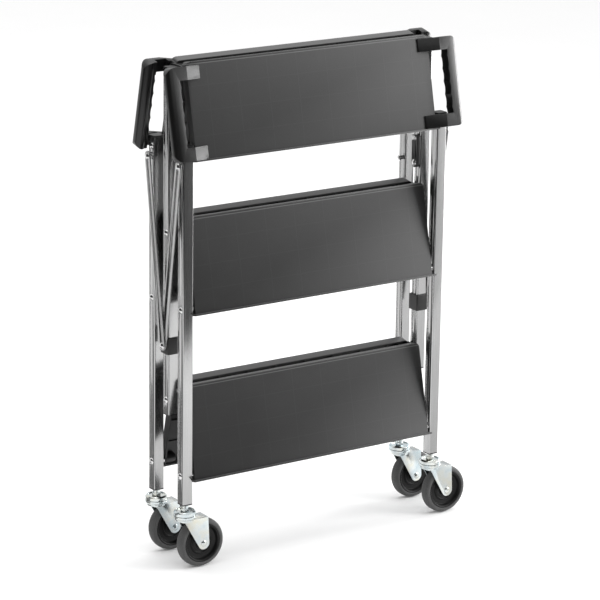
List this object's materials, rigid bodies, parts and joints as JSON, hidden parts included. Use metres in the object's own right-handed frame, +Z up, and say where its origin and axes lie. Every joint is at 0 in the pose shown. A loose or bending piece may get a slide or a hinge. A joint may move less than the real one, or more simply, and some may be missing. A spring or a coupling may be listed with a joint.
{
  "type": "folding service cart",
  "caption": "Folding service cart shown folded: tent-hinged dark plastic shelves on square steel tube legs, loop handles and swivel casters.",
  "frame": {"origin": "on the floor under the middle of the folded cart's bounding box", "axes": "+X along the cart to the right, +Y to the back, +Z up"},
  "size_m": [0.718, 0.1772, 1.0069],
  "materials": {
    "tube_steel": "polished stainless tube",
    "link_steel": "flat stainless bar",
    "bolt_chrome": "bright domed heads",
    "shelf_plastic": "charcoal, fine grain",
    "handle_plastic": "black satin",
    "black_plastic": "black moulded fittings",
    "zinc": "bright zinc plate",
    "hub_plastic": "black",
    "tyre_rubber": "grey rubber"
  },
  "bodies": {
    "front_legs": {"leg_front_left": "tube_steel", "leg_front_right": "tube_steel", "leg_plugs_front": "black_plastic", "shelf_bolts_front": "bolt_chrome", "link_rivets_front": "bolt_chrome", "caster_stems_front": "zinc"},
    "back_legs": {"leg_back_left": "tube_steel", "leg_back_right": "tube_steel", "leg_plugs_back": "black_plastic", "shelf_bolts_back": "bolt_chrome", "link_rivets_back": "bolt_chrome", "caster_stems_back": "zinc", "catch_pin": "bolt_chrome", "catch_spacer": "black_plastic"},
    "centre_posts": {"post_left": "tube_steel", "post_right": "tube_steel", "post_plugs": "black_plastic", "brackets_top": "black_plastic", "brackets_middle": "black_plastic", "brackets_bottom": "black_plastic", "hinge_pins": "bolt_chrome", "post_bolts": "bolt_chrome", "catch_bolt": "bolt_chrome"},
    "shelf_top_front": {"shelf_top_front": "shelf_plastic", "handle_front_left": "handle_plastic", "handle_front_right": "handle_plastic"},
    "shelf_top_back": {"shelf_top_back": "shelf_plastic", "handle_back_left": "handle_plastic", "handle_back_right": "handle_plastic"},
    "shelf_middle_front": {"shelf_middle_front": "shelf_plastic"},
    "shelf_middle_back": {"shelf_middle_back": "shelf_plastic"},
    "shelf_bottom_front": {"shelf_bottom_front": "shelf_plastic"},
    "shelf_bottom_back": {"shelf_bottom_back": "shelf_plastic"},
    "catch_arm": {"catch_arm": "black_plastic"},
    "sleeve_left": {"sleeve_left": "black_plastic"},
    "link_front_left": {"link_front_left": "link_steel"},
    "link_back_left": {"link_back_left": "link_steel", "sleeve_rivet_left": "bolt_chrome"},
    "fork_front_left": {"fork_front_left": "zinc", "axle_front_left": "zinc"},
    "wheel_front_left": {"hub_front_left": "hub_plastic", "tyre_front_left": "tyre_rubber"},
    "fork_back_left": {"fork_back_left": "zinc", "axle_back_left": "zinc"},
    "wheel_back_left": {"hub_back_left": "hub_plastic", "tyre_back_left": "tyre_rubber"},
    "sleeve_right": {"sleeve_right": "black_plastic"},
    "link_front_right": {"link_front_right": "link_steel"},
    "link_back_right": {"link_back_right": "link_steel", "sleeve_rivet_right": "bolt_chrome"},
    "fork_front_right": {"fork_front_right": "zinc", "axle_front_right": "zinc"},
    "wheel_front_right": {"hub_front_right": "hub_plastic", "tyre_front_right": "tyre_rubber"},
    "fork_back_right": {"fork_back_right": "zinc", "axle_back_right": "zinc"},
    "wheel_back_right": {"hub_back_right": "hub_plastic", "tyre_back_right": "tyre_rubber"}
  },
  "joints": [
    {"name": "fold", "type": "hinge", "parent": "front_legs", "child": "shelf_top_front", "pos_m": [-0.023, -0.0539, 0.833], "axis": [-1, 0, 0], "range_deg": [0, 77.5]},
    {"name": "post_turn", "type": "hinge", "parent": "shelf_top_front", "child": "centre_posts", "pos_m": [-0.023, -0.014, 0.98988], "axis": [1, 0, 0], "range_deg": [0, 77.55]},
    {"name": "middle_front_fold", "type": "hinge", "parent": "front_legs", "child": "shelf_middle_front", "pos_m": [-0.023, -0.0539, 0.53], "axis": [-1, 0, 0], "range_deg": [0, 77.55]},
    {"name": "bottom_front_fold", "type": "hinge", "parent": "front_legs", "child": "shelf_bottom_front", "pos_m": [-0.023, -0.0539, 0.193], "axis": [-1, 0, 0], "range_deg": [0, 77.55]},
    {"name": "top_back_fold", "type": "hinge", "parent": "centre_posts", "child": "shelf_top_back", "pos_m": [-0.023, 0.014, 0.98988], "axis": [1, 0, 0], "range_deg": [0, 77.55]},
    {"name": "middle_back_fold", "type": "hinge", "parent": "centre_posts", "child": "shelf_middle_back", "pos_m": [-0.023, 0.014, 0.68688], "axis": [1, 0, 0], "range_deg": [0, 77.55]},
    {"name": "bottom_back_fold", "type": "hinge", "parent": "centre_posts", "child": "shelf_bottom_back", "pos_m": [-0.023, 0.014, 0.34988], "axis": [1, 0, 0], "range_deg": [0, 77.55]},
    {"name": "back_legs_turn", "type": "hinge", "parent": "shelf_top_back", "child": "back_legs", "pos_m": [-0.023, 0.0539, 0.833], "axis": [-1, 0, 0], "range_deg": [0, 77.55]},
    {"name": "link_front_left_turn", "type": "hinge", "parent": "front_legs", "child": "link_front_left", "pos_m": [-0.331, -0.0539, 0.813], "axis": [1, 0, 0], "range_deg": [0, 19.98]},
    {"name": "link_back_left_turn", "type": "hinge", "parent": "back_legs", "child": "link_back_left", "pos_m": [-0.331, 0.0539, 0.813], "axis": [-1, 0, 0], "range_deg": [0, 19.98]},
    {"name": "sleeve_left_slide", "type": "slide", "parent": "centre_posts", "child": "sleeve_left", "axis": [0, 0, 1], "range_m": [0, 0.20234]},
    {"name": "link_front_right_turn", "type": "hinge", "parent": "front_legs", "child": "link_front_right", "pos_m": [0.285, -0.0539, 0.813], "axis": [1, 0, 0], "range_deg": [0, 19.98]},
    {"name": "link_back_right_turn", "type": "hinge", "parent": "back_legs", "child": "link_back_right", "pos_m": [0.285, 0.0539, 0.813], "axis": [-1, 0, 0], "range_deg": [0, 19.98]},
    {"name": "sleeve_right_slide", "type": "slide", "parent": "centre_posts", "child": "sleeve_right", "axis": [0, 0, 1], "range_m": [0, 0.20234]},
    {"name": "catch_swing", "type": "hinge", "parent": "centre_posts", "child": "catch_arm", "pos_m": [0.2585, 0, 0.74], "axis": [-1, 0, 0], "range_deg": [0, 90]},
    {"name": "swivel_front_left", "type": "hinge", "parent": "front_legs", "child": "fork_front_left", "pos_m": [-0.32, -0.0539, 0.108], "axis": [0, 0, 1], "continuous": true},
    {"name": "roll_front_left", "type": "hinge", "parent": "fork_front_left", "child": "wheel_front_left", "pos_m": [-0.285, -0.0539, 0.05], "axis": [0, 1, 0], "continuous": true},
    {"name": "swivel_front_right", "type": "hinge", "parent": "front_legs", "child": "fork_front_right", "pos_m": [0.274, -0.0539, 0.108], "axis": [0, 0, 1], "continuous": true},
    {"name": "roll_front_right", "type": "hinge", "parent": "fork_front_right", "child": "wheel_front_right", "pos_m": [0.309, -0.0539, 0.05], "axis": [0, 1, 0], "continuous": true},
    {"name": "swivel_back_left", "type": "hinge", "parent": "back_legs", "child": "fork_back_left", "pos_m": [-0.32, 0.0539, 0.108], "axis": [0, 0, 1], "continuous": true},
    {"name": "roll_back_left", "type": "hinge", "parent": "fork_back_left", "child": "wheel_back_left", "pos_m": [-0.285, 0.0539, 0.05], "axis": [0, 1, 0], "continuous": true},
    {"name": "swivel_back_right", "type": "hinge", "parent": "back_legs", "child": "fork_back_right", "pos_m": [0.274, 0.0539, 0.108], "axis": [0, 0, 1], "continuous": true},
    {"name": "roll_back_right", "type": "hinge", "parent": "fork_back_right", "child": "wheel_back_right", "pos_m": [0.309, 0.0539, 0.05], "axis": [0, 1, 0], "continuous": true}
  ],
  "couplings": [
    {"joint": "post_turn", "follows": "fold", "ratio": 1},
    {"joint": "middle_front_fold", "follows": "fold", "ratio": 1},
    {"joint": "bottom_front_fold", "follows": "fold", "ratio": 1},
    {"joint": "top_back_fold", "follows": "fold", "ratio": 1},
    {"joint": "middle_back_fold", "follows": "fold", "ratio": 1},
    {"joint": "bottom_back_fold", "follows": "fold", "ratio": 1},
    {"joint": "back_legs_turn", "follows": "fold", "ratio": 1},
    {"joint": "link_front_left_turn", "follows": "fold", "ratio": 0.25717},
    {"joint": "link_back_left_turn", "follows": "fold", "ratio": 0.25717},
    {"joint": "sleeve_left_slide", "follows": "fold", "m_per_rad": 0.14952},
    {"joint": "link_front_right_turn", "follows": "fold", "ratio": 0.25717},
    {"joint": "link_back_right_turn", "follows": "fold", "ratio": 0.25717},
    {"joint": "sleeve_right_slide", "follows": "fold", "m_per_rad": 0.14952}
  ]
}
